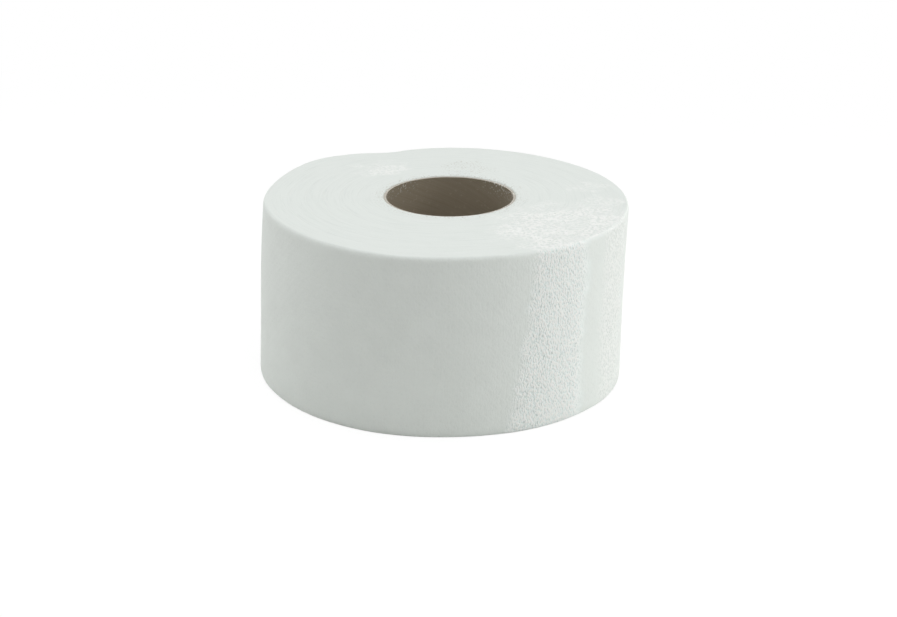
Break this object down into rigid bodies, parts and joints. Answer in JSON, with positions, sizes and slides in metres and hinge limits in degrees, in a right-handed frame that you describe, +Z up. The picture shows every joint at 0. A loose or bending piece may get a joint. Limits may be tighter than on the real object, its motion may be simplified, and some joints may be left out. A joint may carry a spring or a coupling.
{
  "type": "toilet paper roll",
  "caption": "Wide toilet paper roll for a washroom dispenser, stood on its end: white tissue wound tight on a brown cardboard core that is open right through.",
  "frame": {"origin": "in the middle of the lower end, on which the roll stands; the core's axis is 2.8 mm from it towards +X", "axes": "+Z up along the core's axis; -Y towards the viewer of the picture and +X to the right; the last sheet's cut end is at 106 degrees from +X towards +Y, at the back"},
  "size_m": [0.1747, 0.175, 0.085],
  "materials": {
    "tissue_paper": "matte creped tissue",
    "core_board": "matte grey-brown board"
  },
  "bodies": {
    "root": {"paper_winding": "tissue_paper", "cardboard_core": "core_board"}
  },
  "joints": []
}
